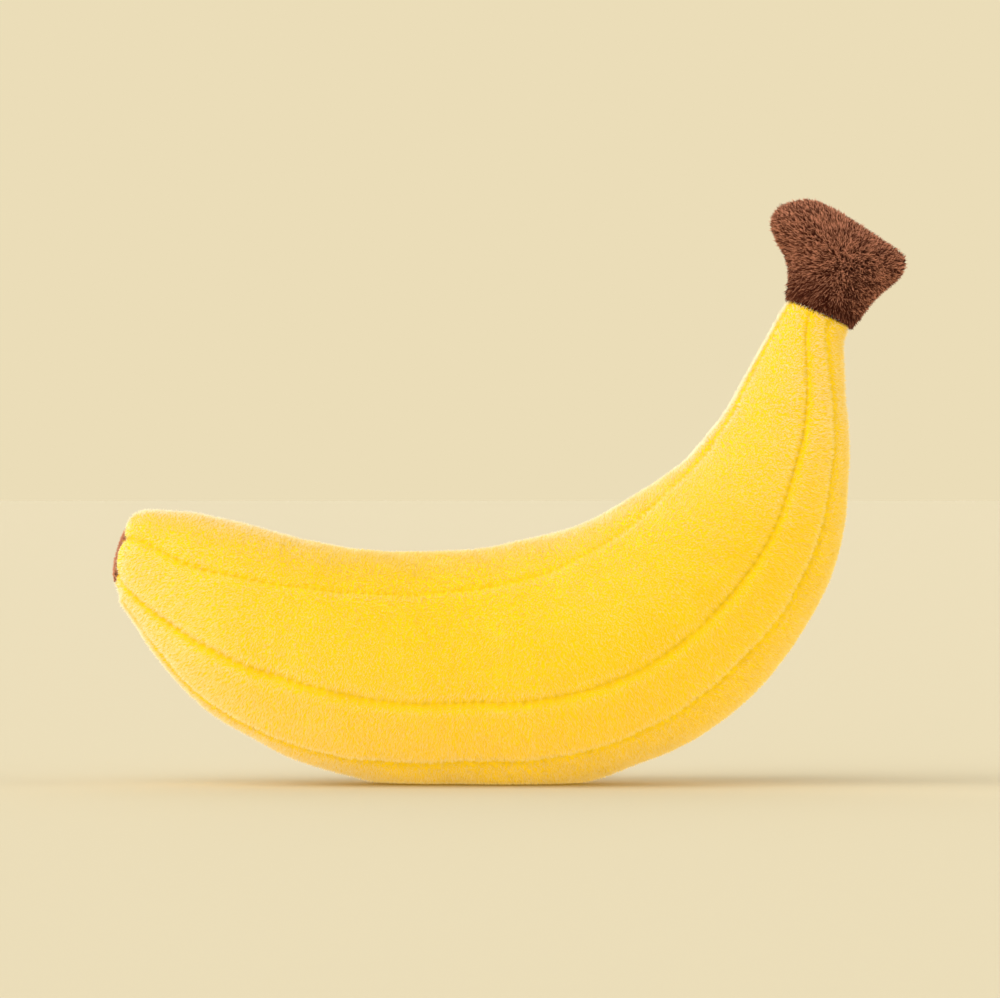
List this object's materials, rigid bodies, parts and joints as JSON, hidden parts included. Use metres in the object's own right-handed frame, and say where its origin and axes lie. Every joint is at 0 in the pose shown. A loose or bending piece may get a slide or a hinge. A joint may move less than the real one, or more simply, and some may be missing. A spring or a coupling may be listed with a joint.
{
  "type": "plush banana",
  "caption": "Stuffed plush banana with stitched lengthwise gores, a brown stem cap and a brown tip patch, standing on the flattened underside of its outer curve.",
  "frame": {"origin": "on the floor under the middle of the whole part, where it rests on its outer curve", "axes": "+X runs from the brown tip to the brown stem, +Y towards the back, -Z down to the floor it rests on"},
  "size_m": [0.3022, 0.093, 0.2211],
  "materials": {
    "yellow_plush": "short-pile plush",
    "brown_plush": "longer-pile plush",
    "fibre_filling": "loose polyester fibre",
    "yellow_thread": "sewing thread",
    "brown_thread": "sewing thread"
  },
  "bodies": {
    "root": {"panel_top": "yellow_plush", "panel_front_upper": "yellow_plush", "panel_front_lower": "yellow_plush", "panel_bottom": "yellow_plush", "panel_back_lower": "yellow_plush", "panel_back_upper": "yellow_plush", "tip_patch": "brown_plush", "stem_cap_front": "brown_plush", "stem_cap_back": "brown_plush", "stuffing": "fibre_filling", "seam_thread_1": "yellow_thread", "seam_thread_2": "yellow_thread", "seam_thread_3": "yellow_thread", "seam_thread_4": "yellow_thread", "seam_thread_5": "yellow_thread", "seam_thread_6": "yellow_thread", "hem_thread": "brown_thread", "tip_thread": "brown_thread", "cap_thread": "brown_thread"}
  },
  "joints": []
}
